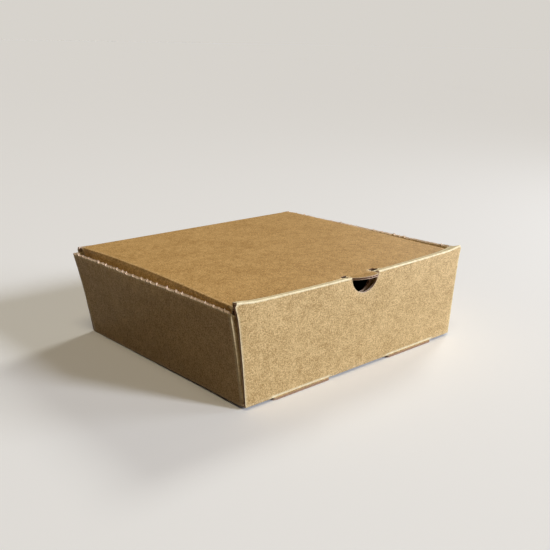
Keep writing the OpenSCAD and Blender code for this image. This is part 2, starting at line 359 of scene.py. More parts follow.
def fold_tray(points):
    """The tray's sheet folded up, in millimetres of the part's frame."""
    p, flip = mirrored(points)
    x, y = p[:, 0], p[:, 1]
    is_front = (y < FLAT_FRONT) & (x < SPLIT_X + (FLAT_FRONT - y) * SPLIT_SLOPE)
    is_rear = (y > FLAT_REAR) & (x < SPLIT_X + (y - FLAT_REAR) * SPLIT_SLOPE)
    is_side = ~is_front & ~is_rear & (x > FLAT_X)
    made = p.copy()
    made[is_front] = fold_chain(p[is_front], front_creases)
    made[is_rear] = fold_chain(p[is_rear], rear_creases)
    made[is_side] = side_crease.bend(p[is_side], rigid=False)
    for flap in (front_flap, rear_flap):
        here = is_side & (x > FLAP_SLIT_X) & (flap.past(p) > 0)
        made[here] = side_crease.bend(flap.bend(p[here], rigid=False), rigid=True)
    made[:, 0] *= flip
    made[:, 2] += BOARD / 2
    return lift_front(wave_walls(bow_front(ease_corners(made, p, is_side), FRONT_SAG)), p)


tuck_crease = Crease((0, FLAT_LID), (0, -1), -TUCK_TURN, (-LID_X + BOARD, LID_X - BOARD))
TAB_MIDDLE_Y = TUCK_Y - (TAB_REACH - TAB_R)
LID_REAR_ROOT = HINGE_Y - SEAM - 0.4
side_run = (FLAT_LID + 0.35, LID_REAR_ROOT - 0.05)
lid_side_crease = Crease((FLAT_LID_X, 0), (1, 0), -LID_SIDE_TURN, side_run, LID_FOLD_MID)


def fold_lid(points):
    """The lid's sheet with its flaps turned down, in millimetres of the part's frame."""
    p, flip = mirrored(points)
    x, y = p[:, 0], p[:, 1]
    beyond = np.minimum(y - TAB_MIDDLE_Y, 0)
    is_tab = np.hypot(x, beyond) < TAB_R + 0.07
    is_side = (x > FLAT_LID_X) & (y < LID_REAR_ROOT + 0.05) & (y > FLAT_LID)
    is_tuck = (y < FLAT_LID) & ~is_tab
    made = p.copy()
    made[is_side] = lid_side_crease.bend(p[is_side], rigid=False)
    made[is_tuck] = tuck_crease.bend(p[is_tuck], rigid=False)
    made[:, 2] += TAB_CURL * is_tab * np.clip((TUCK_Y - y) / TAB_REACH, 0, 1) ** 1.5
    made[:, 0] *= flip
    made[:, 2] += HINGE_Z
    return tipped(bow_front(ease_lid(made), LID_SAG))


# Shapes that use has left in the board
FRONT_BOW = 2.4
FRONT_SAG = 0.6
ROLL_SLANT = 0.9
CORNER_EAR = 1.1
LID_SAG = 0.35
FRONT_LIFT = 1.45
TAB_PRESS = 0.9
LID_ARCH = 0.1
LID_RISE = 0.4
LID_DIP_LEFT = 2.1
LID_DIP_RIGHT = 1.5
DIP_FROM_Y = 15
DIP_RUN = 98
LID_SIDE_EASE = 1.7
FLAP_SPRING = 1.9
SPRING_DEPTH = 4.5
SPRING_REACH = 5
TAB_CURL = 1.6
CORNER_BULGE = 1.2
WALL_WAVE = 0.5
REAR_SPLAY = 1.2
CORNER_EASE = 1.2
CORNER_Y = (50, 72)
EASE_X = (70, 94)
EAR_X = (84, 97)
BULGE_Y = (40, 76)


def ease_lid(p):
    """The lid's side edges are drawn in, its side flaps spring out, and its front corners hang lower."""
    x, y, z = p.T
    left = ramp(-x, -0.3 * LID_X, LID_X)
    right = ramp(x, 0.2 * LID_X, LID_X)
    along = np.clip(1 - (y / HINGE_Y) ** 2, 0, 1)
    rear = ramp(y, -50, 20) * ramp(-y, -HINGE_Y, -50)
    free = ramp(y, -TUCK_REACH, 0) * ramp(-y, -HINGE_Y, -50) * ramp(np.abs(x), 80, LID_X)
    eased = LID_SIDE_EASE * ramp(z, HINGE_Z - 4, HINGE_Z - 0.4)
    sprung = FLAP_SPRING * np.clip(1 - np.abs(HINGE_Z - SPRING_DEPTH - z) / SPRING_REACH, 0, 1)
    made = p.copy()
    made[:, 0] -= np.sign(x) * free * (eased - sprung)
    made[:, 2] += LID_ARCH * left * along + LID_RISE * right * rear
    dip = LID_DIP_LEFT * ramp(-x, 20, LID_X) + LID_DIP_RIGHT * ramp(x, 20, LID_X)
    made[:, 2] -= dip * np.clip((DIP_FROM_Y - y) / DIP_RUN, 0, 1)
    return made


def tipped(p):
    """The lock tabs under the front crease tip the box up at the front."""
    made = p.copy()
    made[:, 2] += FRONT_LIFT * (BASE_D / 2 - p[:, 1]) / BASE_D
    return made


def bow_front(p, sag):
    """The front bows out and sags between its corners, and takes the front of the lid with it."""
    x, y, z = p.T
    across = np.clip(1 - (x / panel_x(FRONT_H)) ** 2, 0, 1)
    near_front = ramp(-y, 30, -TUCK_Y)
    made = p.copy()
    made[:, 1] -= FRONT_BOW * across * near_front * ramp(z, -0.2 * FRONT_H, FRONT_H)
    made[:, 2] -= sag * across * near_front * ramp(z, 0, FRONT_H)
    return made


def wave_walls(p):
    """The side walls wander a little, and their rear corners stand away from the rear wall."""
    x, y, z = p.T
    side = np.sign(x) * (np.abs(x) / LID_X) ** 8
    free = np.sin(math.pi * np.clip(z / FRONT_H, 0, 1))
    splay = REAR_SPLAY * ramp(y, 50, HINGE_Y) * np.clip(z / FRONT_H, 0, 1) * (np.abs(x) > wall_x(0))
    made = p.copy()
    made[:, 0] += side * (WALL_WAVE * free * np.sin(y / 31.0 + 0.8) + splay)
    made[:, 1] += np.abs(side) * splay
    return made


def ease_corners(p, flat, is_side):
    """The side walls and the inner front wall stand back, and the front panel's top corners stand up."""
    x, y, z = p.T
    behind = np.where(is_side, 1.0, ramp(-flat[:, 1], arc(QUARTER) - ROLL_Y, -ROLL_BACK_Y))
    made = p.copy()
    up = np.clip(z / FRONT_H, 0, 1)
    near = ramp(np.abs(x), *EASE_X) * ramp(-y, *CORNER_Y) * up
    made[:, 1] += CORNER_EASE * behind * near
    made[:, 2] -= ROLL_SLANT * ~is_side * ramp(-flat[:, 1], -ROLL_Y, -ROLL_BACK_Y) * up
    at_corner = ramp(np.abs(x), *EAR_X) * ramp(-y, *CORNER_Y)
    ear = CORNER_EAR * ~is_side * at_corner * ramp(z, 0.85 * FRONT_H, FRONT_H)
    made[:, 0] += np.sign(x) * ear
    made[:, 2] += ear
    made[:, 0] += CORNER_BULGE * np.sign(x) * is_side * ramp(-y, *BULGE_Y) * (0.4 + 0.6 * up)
    return made


def lift_front(p, flat):
    """The lock tabs lie pressed flat under the front crease and hold the front off the table."""
    x, y, z = p.T
    tab = ramp(np.abs(np.abs(x) - LOCK_PITCH / 2), LOCK_W / 2 + 1.2, LOCK_W / 2 + 0.3)
    is_inner = flat[:, 1] < ROLL_BACK_Y - arc(QUARTER)
    held = np.where(is_inner, tab * (1 - ramp(z, WALL_FOOT, 12)), 0.0)
    made = p.copy()
    pressed = (flat[:, 1] < TAB_FOLD_Y - arc(QUARTER)) & (z < BOARD + 0.01)
    made[pressed, 2] *= TAB_PRESS
    made[:, 2] += (tipped(p)[:, 2] - z) * (1 - held)
    return made


# Outlines of the sheet: corners as (x, y, radius, kind), where the kind is that of the edge that leaves the corner


def half_tray(side_heights):
    """Right half of the tray's cut line, from the inner front wall round to the seam at the rear."""
    near_h, middle_h, side_h = side_heights
    near_top = near_h - FLAP_DROP
    flap_top = side_h - FLAP_DROP
    tip = BASE_W / 2 - FLAP_LEN
    front_rise, rear_rise = (FLAP_LEN * math.tan(a) for a in (FRONT_FOOT_TAPER, REAR_FOOT_TAPER))
    top_fall = FLAP_LEN * math.tan(FLAP_TAPER)
    inner_end = inner_wall_y(FLAP_FOOT)
    tab_end = TAB_FOLD_Y - arc(QUARTER) - (INNER_Y - FRONT_Y + BOARD / 2 - FOLD_MID + LOCK_PROUD)
    tab = LOCK_TAB
    inner_top_x = wall_x(FRONT_H) - INNER_GAP - 1.4
    roll_top = FRONT_H - BOARD
    step_x = wall_x(side_h) - BOARD
    crease_y = rear_flap.on_corner(0)[1] - tangent(rear_flap.turn)
    top_y = crease_y + math.tan(REAR_TILT) * (side_h + 1)
    slit = 0.12
    slit_in, slit_out = FLAP_SLIT_X - slit, FLAP_SLIT_X + slit
    return [
        (tab[0], inner_end, 0.5, "cut"), (tab[0] + 0.6, tab_end, 2.0, "tab"),
        (tab[1] - 0.6, tab_end, 2.0, "cut"), (tab[1], inner_end, 0.5, "cut"),
        (wall_x(FLAP_FOOT) - INNER_GAP, inner_end, 1.0, "cut"),
        # The roll's end edge is painted as shade (kind shaded)
        (inner_top_x, inner_wall_y(FRONT_H - 2 * BOARD), 0, "shaded"),
        (inner_top_x, front_wall_y(FRONT_H) - 0.6, 0, "cut"),
        (panel_x(roll_top), front_wall_y(roll_top) + 0.3, 0.6, "cut"),
        (panel_x(WALL_FOOT) - 0.1, front_wall_y(WALL_FOOT), 0, "slit"),
        (BASE_W / 2 - slit, FLAT_FRONT - slit, 0, "slit"),
        (FLAT_X + slit, FLAT_FRONT, 0, "slit"), (slit_in, FLAT_FRONT + slit, 0, "slit"),
        (slit_in, FLAP_START + slit, 0, "slit"), (slit_out, FLAP_START + slit, 0, "slit"),
        (FLAP_SLIT_X + 2 * slit, FLAT_FRONT - slit, 0, "cut"),
        (*front_flap.at_place(tip, FLAP_FOOT + front_rise), FLAP_CORNER_R, "cut"),
        (*front_flap.at_place(tip, near_top - top_fall), FLAP_CORNER_R, "cut"),
        (*front_flap.at_place(panel_x(near_top) - BOARD, near_top), 0.6, "cut"),
        (side_wall_x(near_h), FLAP_START + 0.4, FLAP_DROP, "torn"),
        (side_wall_x(middle_h), SIDE_MIDDLE_Y, 30.0, "torn"),
        (side_wall_x(side_h), top_y, 0.3, "cut"),
        (*rear_flap.at_place(step_x, side_h), 0.4, "cut"),
        (*rear_flap.at_place(step_x - BOARD, flap_top), 0.4, "cut"),
        (*rear_flap.at_place(tip, flap_top - top_fall), FLAP_CORNER_R, "cut"),
        (*rear_flap.at_place(tip, FLAP_FOOT + rear_rise), FLAP_CORNER_R, "cut"),
        (FLAP_SLIT_X + 2 * slit, FLAT_REAR + slit, 0, "slit"),
        (slit_out, crease_y + 0.5, 0, "slit"), (slit_in, crease_y + 0.5, 0, "slit"),
        (slit_in, FLAT_REAR - slit, 0, "slit"), (FLAT_X + slit, FLAT_REAR, 0, "slit"),
        (BASE_W / 2 - slit, FLAT_REAR + slit, 0, "slit"),
        (panel_x(WALL_FOOT) - 0.1, rear_wall_y(WALL_FOOT), 0, "cut"),
        (panel_x(NECK_FOOT) - 0.1, rear_wall_y(NECK_FOOT - 2.2), 1.0, "cut"),
        (LID_X, rear_wall_y(NECK_FOOT), 0.6, "cut"), (LID_X, SEAM_Y, 0, "seam"),
    ]


def half_lid():
    """Right half of the lid's cut line, from the tuck flap round to the seam at the rear."""
    tuck_half = LID_X - 2 * BOARD - 0.4
    tuck_end = FLAT_LID - arc(TUCK_TURN) - (TUCK_H / math.cos(TUCK_TURN - QUARTER) - tangent(TUCK_TURN))
    tuck_foot = tuck_half - TUCK_H * math.tan(LID_TAPER)
    flap_x = FLAT_LID_X + lid_side_crease.length
    flap_end = flap_x + TUCK_H / math.cos(LID_SIDE_TURN - QUARTER) - tangent(LID_SIDE_TURN, LID_FOLD_MID)
    slope = (flap_end - flap_x) * math.tan(LID_TAPER)
    front_root = FLAT_LID + LID_FLAP_GAP
    shoulder = 3.6
    rear_shoulder = LID_REAR_ROOT - 2.6
    return [
        (tuck_foot, tuck_end, LID_CORNER_R, "cut"), (tuck_half, FLAT_LID - arc(TUCK_TURN), 0, "cut"),
        (tuck_half, FLAT_LID + 0.02, 0, "cut"), (flap_x, FLAT_LID + 0.3, 0, "cut"),
        (flap_x + 0.1, front_root, 0, "cut"), (flap_end, front_root + slope, LID_CORNER_R, "cut"),
        (flap_end, rear_shoulder - slope, LID_CORNER_R, "cut"), (flap_x + shoulder, rear_shoulder, 0.5, "cut"),
        (flap_x, LID_REAR_ROOT, 0, "slit"), (FLAT_LID_X + 0.1, LID_REAR_ROOT, 0, "slit"),
        (FLAT_LID_X + 0.1, LID_REAR_ROOT + 0.15, 0, "slit"), (LID_X, LID_REAR_ROOT + 0.2, 0, "slit"),
        (LID_X, HINGE_Y - SEAM, 0, "seam"),
    ]


def both_halves(right, left):
    """One closed cut line from a right half and, mirrored and run backwards, a left half."""
    count = len(left)
    back = [(-left[i][0], left[i][1], left[i][2], left[i - 1][3] if i else "cut") for i in reversed(range(count))]
    return right + back


def stadium_hole(half_w, y0, y1):
    """A hole with straight sides between two half circles, cut clockwise."""
    steps = 48
    ends = [(y1, 0.0), (y0, math.pi)]
    turns = [(y, start + math.pi * k / steps) for y, start in ends for k in range(steps + 1)]
    # The hole's edges, of kind punched, are painted partly pale as light
    return [(NOTCH_X + half_w * math.cos(a), y + half_w * math.sin(a), 0, "punched") for y, a in reversed(turns)]


def slot_hole(side):
    half = (LOCK_W + SLOT_SPARE) / 2
    x0, x1 = side * LOCK_PITCH / 2 - half, side * LOCK_PITCH / 2 + half
    y0, y1 = FLAT_FRONT + 0.3, INNER_Y + BOARD + LAYER_GAP
    return [(x, y, 0.5, "cut") for x, y in ((x0, y0), (x0, y1), (x1, y1), (x1, y0))]


def tab_slit():
    """The U-shaped cut that frees the thumb tab, with a relief cut at each end, cut clockwise."""
    steps = 40
    inside, outside = TAB_R - 0.05, TAB_R + 0.2
    root, foot = FLAT_LID, FLAT_LID - RELIEF_W
    end = TAB_R + RELIEF_LEN
    angles = [math.pi * k / steps for k in range(steps + 1)]
    around_tab, around_hole = (
        [(r * math.cos(a), TAB_MIDDLE_Y - r * math.sin(a), 0, "cut") for a in angles] for r in (inside, outside))
    back = root + RELIEF_BACK
    # Edges of kind shaded around the relief cuts are painted as shade
    right_cut = [
        (inside - 0.4, root + 0.2, 0, "cut"), (inside + 0.4, back - 0.6, 0.2, "shaded"),
        (inside + 4.6, back + 0.2, 0.3, "shaded"), (end - 0.5, root + 0.3, 0.2, "cut"),
        (end, foot + 0.2, 0.3, "cut"), (outside, foot, 0, "cut"),
    ]
    left_cut = [
        (-outside, foot, 0, "cut"), (3.6 - end, foot + 0.2, 0.3, "cut"), (3.6 - end, root + 0.4, 0.2, "shaded"),
        (4.4 - end, back - 0.9, 0.2, "shaded"), (3.4 - inside, back - 0.7, 0.3, "shaded"),
    ]
    return [(-inside, root, 0, "cut"), *around_tab[::-1], *right_cut, *around_hole, *left_cut]


def rounded(corners):
    """Corner points with their radii worked out, as (x, y, kind)."""
    steps = 5
    made = []
    for i, (x, y, radius, kind) in enumerate(corners):
        here = np.array([x, y])
        if not radius:
            made.append((x, y, kind))
            continue
        before = np.array(corners[i - 1][:2]) - here
        after = np.array(corners[(i + 1) % len(corners)][:2]) - here
        u, v = before / np.linalg.norm(before), after / np.linalg.norm(after)
        half = math.acos(float(np.clip(u @ v, -1, 1))) / 2
        run = min(radius / math.tan(half), 0.49 * np.linalg.norm(before), 0.49 * np.linalg.norm(after))
        radius = run * math.tan(half)
        middle = (u + v) / np.linalg.norm(u + v)
        hub = here + middle * radius / math.sin(half)
        start, end = here + u * run - hub, here + v * run - hub
        sweep = math.atan2(start[0] * end[1] - start[1] * end[0], start @ end)
        for k in range(steps + 1):
            a = sweep * k / steps
            turn = np.array([[math.cos(a), -math.sin(a)], [math.sin(a), math.cos(a)]])
            edge = corners[i - 1][3] if k < steps else kind
            made.append((*(hub + turn @ start), edge))
    return made


def fine_steps(corners):
    """The cut line in steps short enough to show the flutes where it crosses them."""
    points, kinds = [], []
    for i, (x, y, kind) in enumerate(corners):
        a, b = np.array([x, y]), np.array(corners[(i + 1) % len(corners)][:2])
        length = float(np.linalg.norm(b - a))
        count = length / EDGES[kind].step
        if kind in ("cut", "punched", "torn", "tab"):
            count = max(count, abs(b[0] - a[0]) / FLUTE_STEP)
        count = max(1, math.ceil(count - 1e-6))
        points += [a + (b - a) * k / count for k in range(count)]
        kinds += [kind] * count
    return np.array(points), kinds


class Sheet:
    """A flat die-cut sheet with holes, meshed so that it can be folded along its creases."""

    def __init__(self, outlines, creases, seed):
        self.random = np.random.default_rng(seed)
        self.loops = [fine_steps(rounded(c)) for c in outlines]
        self.rows = [row for c in creases for row in c.rows()]
        self.cut_rows()
        self.points = np.concatenate([p for p, _ in self.loops])
        self.kinds = [k for _, kinds in self.loops for k in kinds]
        self.number_loops()
        self.near = self.tree_of(self.points)
        self.edges = [(loop[i], loop[(i + 1) % len(loop)]) for loop in self.numbers for i in range(len(loop))]
        self.border = np.array([(self.points[a], self.points[b]) for a, b in self.edges])
        self.inward = self.inward_normals()
        self.add_rows()
        self.add_rings()
        self.add_grid()
        self.triangulate()

    @staticmethod
    def tree_of(points):
        tree = kdtree.KDTree(len(points))
        for i, p in enumerate(points):
            tree.insert((p[0], p[1], 0), i)
        tree.balance()
        return tree

    def number_loops(self):
        ends = np.cumsum([len(points) for points, _ in self.loops]).tolist()
        self.numbers = [list(range(a, b)) for a, b in zip([0, *ends], ends)]
        self.rim_count = ends[-1]

    def cut_rows(self):
        """Puts a point on the cut lines wherever a crease row crosses them."""
        self.crossings = [[] for _ in self.rows]
        for which, (points, kinds) in enumerate(self.loops):
            after = np.roll(points, -1, 0)
            found = []
            for r, (a, b) in enumerate(self.rows):
                d, e = b - a, after - points
                cross = d[0] * e[:, 1] - d[1] * e[:, 0]
                safe = np.where(np.abs(cross) < 1e-12, 1.0, cross)
                gap = points - a
                along_row = (gap[:, 0] * e[:, 1] - gap[:, 1] * e[:, 0]) / safe
                along_edge = (gap[:, 0] * d[1] - gap[:, 1] * d[0]) / safe
                hit = (np.abs(cross) > 1e-12) & (along_row > 0) & (along_row < 1)
                hit &= (along_edge > 0) & (along_edge < 1)
                found += [(i, along_edge[i], r, along_row[i]) for i in np.nonzero(hit)[0]]
            found = sorted(found + [(i, 0.0, -1, 0.0) for i in range(len(points))])
            for place, (_, _, r, t) in enumerate(found):
                if r >= 0:
                    self.crossings[r].append((t, which, place))
            at = np.array([f[0] for f in found])
            share = np.array([f[1] for f in found])[:, None]
            self.loops[which] = (points[at] + (after[at] - points[at]) * share, [kinds[i] for i in at])

    def inward_normals(self):
        made = np.zeros((self.rim_count, 2))
        for loop in self.numbers:
            p = self.points[loop]
            step = unit(np.roll(p, -1, 0) - p)
            mean = unit(step + np.roll(step, 1, 0))
            made[loop] = np.stack([-mean[:, 1], mean[:, 0]], 1)
        return made

    def inside(self, points):
        """Which points lie on the board, by counting the cut lines to their right."""
        a, b = self.border[:, 0], self.border[:, 1]
        made = np.zeros(len(points), bool)
        for start in range(0, len(points), 2000):
            p = points[start:start + 2000, None, :]
            spans = (a[:, 1] > p[..., 1]) != (b[:, 1] > p[..., 1])
            rise = np.where(b[:, 1] == a[:, 1], 1.0, b[:, 1] - a[:, 1])
            x = a[:, 0] + (p[..., 1] - a[:, 1]) * (b[:, 0] - a[:, 0]) / rise
            made[start:start + 2000] = (spans & (x > p[..., 0])).sum(1) % 2 == 1
        return made

    def from_edge(self, points):
        """Distance of each point from the nearest point of a cut line, and that point's number."""
        found = [self.near.find((p[0], p[1], 0)) for p in points]
        return np.array([f[2] for f in found]), np.array([f[1] for f in found])

    def extend(self, points):
        start = len(self.points)
        self.points = np.concatenate([self.points, points])
        return list(range(start, start + len(points)))

    def add_rows(self):
        """Adds each crease row as a chain of points and fixed edges."""
        for r, (a, b) in enumerate(self.rows):
            ends = [(t, self.numbers[which][i]) for t, which, i in self.crossings[r]]
            ends = sorted([(0.0, None), *ends, (1.0, None)], key=lambda e: e[0])
            for (t0, first), (t1, last) in zip(ends, ends[1:]):
                middle = a + (b - a) * (t0 + t1) / 2
                length = (t1 - t0) * np.linalg.norm(b - a)
                if length < 0.05 or not self.inside(middle[None])[0]:
                    continue
                count = max(2, round(length / ROW_STEP))
                inner = np.linspace(t0, t1, count + 1)
                inner = inner[int(first is not None):len(inner) - int(last is not None)]
                chain = [first, *self.extend(a + np.outer(inner, b - a)), last]
                chain = [i for i in chain if i is not None]
                self.edges += list(zip(chain, chain[1:]))

    def add_rings(self):
        """Adds points at set distances inside the cut lines, where the edge is squeezed."""
        for reach, every in RINGS:
            start = np.arange(0, self.rim_count, every)
            start = start[[self.kinds[i] != "seam" for i in start]]
            points = self.points[start] + self.inward[start] * reach
            distance, _ = self.from_edge(points)
            points = points[(distance > 0.9 * reach) & self.inside(points)]
            self.extend(points)

    def add_grid(self):
        low, high = self.border.min((0, 1)), self.border.max((0, 1))
        axes = [np.arange(low[k] + GRID_STEP / 2, high[k], GRID_STEP) for k in (0, 1)]
        grid = np.stack(np.meshgrid(*axes), -1).reshape(-1, 2)
        distance, _ = self.from_edge(grid)
        grid = grid[(distance > GRID_CLEARANCE) & self.inside(grid)]
        off_rows = np.ones(len(grid), bool)
        for a, b in self.rows:
            d = (b - a) / np.linalg.norm(b - a)
            along = (grid - a) @ d
            off = np.abs((grid - a) @ np.array([-d[1], d[0]]))
            off_rows &= (off > 1.0) | (along < -1) | (along > np.linalg.norm(b - a) + 1)
        self.extend(grid[off_rows])

    def triangulate(self):
        made = geometry.delaunay_2d_cdt([Vector(p) for p in self.points], self.edges, [], 0, 1e-6)
        faces, origin = made[2:4]
        source = np.array([o[0] if o else -1 for o in origin])
        if (source < 0).any():
            raise ValueError("cut lines or creases of the sheet cross each other")
        faces = source[np.array(faces)]
        self.faces = faces[self.inside(self.points[faces].mean(1))]
        if set(range(self.rim_count)) - set(self.faces.ravel().tolist()):
            raise ValueError("part of a cut line has no board beside it")


def rough_edges(sheet):
    """The cut line moved in and out a little, tufted where it is torn, and its bevel below and above."""
    points = sheet.points.copy()
    shift = np.zeros(sheet.rim_count)
    for loop in sheet.numbers:
        fine = sheet.random.normal(0, 1, len(loop))
        slow = np.convolve(np.tile(sheet.random.normal(0, 1, len(loop)), 3), np.hanning(9) / 4.5, "same")
        slow = slow[len(loop):2 * len(loop)]
        amount = np.array([EDGES[sheet.kinds[i]].rough for i in loop])
        amount = np.minimum(amount, np.roll(amount, 1))
        shift[loop] = amount * (0.5 * fine + slow)
    points[:sheet.rim_count] -= sheet.inward * shift[:, None]
    torn = [i for i in range(sheet.rim_count) if sheet.kinds[i] == "torn"]
    place, last = 0.0, None
    next_tuft = TUFT_PITCH[0]
    for i in torn:
        here = sheet.points[i]
        if last is not None and np.linalg.norm(here - last) < 3:
            place += float(np.linalg.norm(here - last))
        last = here
        if place > next_tuft:
            height = sheet.random.uniform(*TUFT_HEIGHT) * (0.5 if here[0] > 0 else 1.0)
            width = int(sheet.random.integers(1, 4))
            next_tuft = place + sheet.random.uniform(*TUFT_PITCH)
            for k in range(width):
                if i + k in torn:
                    points[i + k] -= sheet.inward[i + k] * height * sheet.random.uniform(0.6, 1.0)
    bevel = np.array([TORN_BEVEL if k == "torn" else 0.0 for k in sheet.kinds])
    bevel *= sheet.random.uniform(0.55, 1.15, sheet.rim_count)
    return points, bevel * (points[:sheet.rim_count, 0] < 0), bevel * (points[:sheet.rim_count, 0] > 0)


def pinched(points, creases):
    """Heights of the board's points, pressed inside each crease and drawn to a corner outside it."""
    right = np.column_stack([np.abs(points[:, 0]), points[:, 1]])
    height = points[:, 2].copy()
    for crease in creases:
        s = crease.past(right)
        off = np.maximum(np.maximum(-s, s - crease.length), 0)
        here = crease.beside(right)
        near = (1 - ramp(off, 0, PINCH_REACH)) * here
        inner = points[:, 2] * crease.turn > 0
        height *= np.where(inner, 1 - near * (1 - PINCH_INNER), 1.0)
        phi = np.clip(s / crease.radius, 0, abs(crease.turn))
        reach = np.minimum(1 / np.cos(np.minimum(phi, abs(crease.turn) - phi)), CORNER_CRISP)
        corner = (reach - 1) * (crease.radius + BOARD / 2) / (BOARD / 2)
        height *= np.where(inner | ~here, 1.0, 1 + corner)
    return height


def board_mesh(name, sheet, fold, creases, worn_and_highlit_creases, layout=np.asarray):
    """Folds a sheet into a closed mesh, with liners and a fluted medium along its cut edges."""
    flat, bevel_below, bevel_above = rough_edges(sheet)
    distance, nearest = sheet.from_edge(flat)
    squeeze, depth, _, rub_and_highlight, frayed_and_painted_light, _ = np.array([EDGES[k] for k in sheet.kinds]).T
    wander = sheet.random.normal(0, 0.04, sheet.rim_count)
    squeeze = np.where(squeeze < 1, squeeze + wander, squeeze)
    share = ramp(distance, 0, SQUEEZE_REACH)
    thick = squeeze[nearest] + (1 - squeeze[nearest]) * share
    thick[:sheet.rim_count] = squeeze
    half = BOARD / 2 * thick
    count = len(flat)

    skins = []
    for side, bevel in ((1, bevel_above), (-1, bevel_below)):
        torn_back = sheet.inward[nearest] * (bevel[nearest] * (1 - share))[:, None]
        torn_back[:sheet.rim_count] = sheet.inward * bevel[:, None]
        skins.append(np.column_stack([flat + torn_back, side * half]))
    rim = np.arange(sheet.rim_count)
    wave = np.sin(2 * math.pi * flat[rim, 0] / FLUTE_PITCH)
    room = BOARD / 2 - LINER - MEDIUM / 2 - 0.03
    middle = wave * room * squeeze
    lip = np.minimum(depth, 0.06 + 0.04 * sheet.random.random(sheet.rim_count))
    under = half[rim] - LINER * squeeze
    ribbon = MEDIUM / 2 * squeeze
    profile = [(0, under), (depth, under), (depth, middle + ribbon), (lip, middle + ribbon),
               (lip, middle - ribbon), (depth, middle - ribbon), (depth, -under), (0, -under)]
    rise = [h / (2 * half[rim]) for _, h in profile]
    slant = [d + bevel_below * (0.5 - r) + bevel_above * (0.5 + r) for (d, _), r in zip(profile, rise)]
    layers = [np.column_stack([flat[rim] + sheet.inward * d[:, None], h]) for d, (_, h) in zip(slant, profile)]
    points = np.concatenate([*skins, *layers])
    points[:, 2] = pinched(points, creases)

    columns = [rim, *[2 * count + k * sheet.rim_count + rim for k in range(len(layers))], count + rim]
    faces = [tuple(f) for f in sheet.faces] + [tuple(f[::-1] + count) for f in sheet.faces]
    skin_count = len(faces)
    for loop in sheet.numbers:
        for i, j in zip(loop, loop[1:] + loop[:1]):
            faces += [(int(a[i]), int(b[i]), int(b[j]), int(a[j])) for a, b in zip(columns, columns[1:])]

    # Wear and painted light per point: rubbed creases and painted crease highlights, rubbed liners along cut edges,
    # and each edge's tone, where low values are painted shade
    wear_and_painted_light = np.zeros(len(points))
    right = np.column_stack([np.abs(points[:, 0]), points[:, 1]])
    for crease, amount in worn_and_highlit_creases:
        s = crease.past(right)
        here = (s > -RUB_SPARE) & (s < crease.length + RUB_SPARE) & crease.beside(right)
        wear_and_painted_light = np.maximum(wear_and_painted_light, amount * here)
    liner_rub = rub_and_highlight[nearest] * (1 - ramp(distance, 0, 1.0))
    liner_edge = frayed_and_painted_light + LINER_PALER
    wear_and_painted_light = np.maximum(wear_and_painted_light, np.concatenate([liner_rub, liner_rub, liner_edge, *[frayed_and_painted_light] * 6, liner_edge]))

    folded = fold(points) * MM
    mesh = bpy.data.meshes.new(name)
    mesh.from_pydata(folded.tolist(), [], faces)
    mesh.update()
    places = mesh.attributes.new("sheet", "FLOAT_VECTOR", "POINT")
    places.data.foreach_set("vector", (layout(points) * MM).astype(np.float32).ravel())
    worn_and_highlight = mesh.attributes.new("wear_and_painted_light", "FLOAT", "POINT")
    worn_and_highlight.data.foreach_set("value", wear_and_painted_light.astype(np.float32))
    slots = np.zeros(len(faces), np.int32)
    slots[skin_count:] = 1
    mesh.polygons.foreach_set("material_index", slots)
    mesh.polygons.foreach_set("use_smooth", np.ones(len(faces), bool))
    mesh.set_sharp_from_angle(angle=math.radians(38))
    return mesh


def placed(name, data):
    """A new object of the scene."""
    made = bpy.data.objects.new(name, data)
    bpy.context.scene.collection.objects.link(made)
    return made


def as_piece(mesh, *materials):
    piece = placed(mesh.name, mesh)
    for material in materials:
        mesh.materials.append(material)
    return piece


# Materials


class Nodes:
    """The nodes of a material or of the world, with short ways to add one and to join it to others."""

    def __init__(self, owner):
        owner.use_nodes = True
        self.owner = owner
        self.tree = owner.node_tree
        self.tree.nodes.clear()

    def add(self, kind, inputs=(), **settings):
        node = self.tree.nodes.new("ShaderNode" + kind)
        for name, value in settings.items():
            setattr(node, name, value)
        for socket, value in dict(inputs).items():
            if isinstance(value, bpy.types.NodeSocket):
                self.tree.links.new(value, node.inputs[socket])
            else:
                node.inputs[socket].default_value = value
        return node

    def math(self, operation, a, b=0.0):
        return self.add("Math", {0: a, 1: b}, operation=operation).outputs[0]

    def noise(self, vector, scale, detail=2, roughness=0.6):
        inputs = {"Vector": vector, "Scale": scale, "Detail": detail, "Roughness": roughness}
        return self.add("TexNoise", inputs).outputs[0]

    def stretched(self, vector, scale, turn):
        """The coordinates turned in the sheet's plane and stretched."""
        inputs = {"Vector": vector, "Scale": scale, "Rotation": (0, 0, turn)}
        return self.add("Mapping", inputs).outputs[0]

    def span(self, value, low, high, to_low=0.0, to_high=1.0):
        inputs = {"Value": value, "From Min": low, "From Max": high, "To Min": to_low, "To Max": to_high}
        return self.add("MapRange", inputs).outputs[0]

    def mix(self, factor, a, b):
        return self.add("Mix", {0: factor, 6: a, 7: b}, data_type="RGBA").outputs[2]

    def paper(self, colour, roughness, bump, specular):
        inputs = {"Base Color": colour, "Roughness": roughness, "Normal": bump.outputs[0],
                  "Specular IOR Level": specular}
        return self.finish(self.add("BsdfPrincipled", inputs))

    def finish(self, shader, output="OutputMaterial"):
        self.add(output, {"Surface": shader.outputs[0]})
        return self.owner


